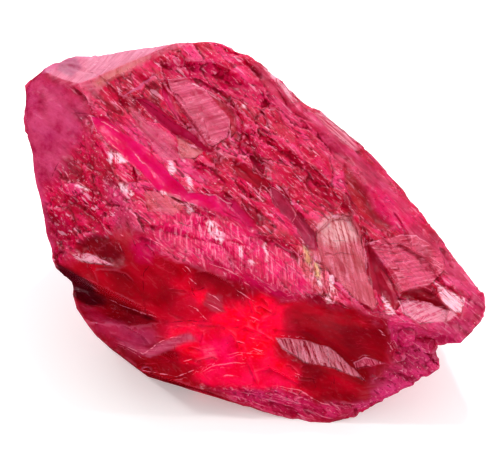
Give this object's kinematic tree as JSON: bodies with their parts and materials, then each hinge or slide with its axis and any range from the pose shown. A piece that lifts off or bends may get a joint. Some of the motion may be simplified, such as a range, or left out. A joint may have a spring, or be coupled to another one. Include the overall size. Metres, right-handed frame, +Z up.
{
  "type": "raw ruby crystal",
  "caption": "Rough translucent ruby crystal with a broad stepped face, a pale end face, a cleft on one side and a flat underside that it rests on.",
  "frame": {"origin": "middle of the bounding box's underside, on the flat face that the crystal rests on", "axes": "+X along the crystal's long side, from its pale square end to its tip; +Y to the back, away from the broad stepped face's lower edge; +Z up as it rests"},
  "size_m": [0.0302, 0.0192, 0.019],
  "materials": {
    "ruby": "translucent crimson crystal, frosted and striated on its growth faces, glassy and deep red where it broke"
  },
  "bodies": {
    "root": {"ruby_crystal": "ruby"}
  },
  "joints": []
}
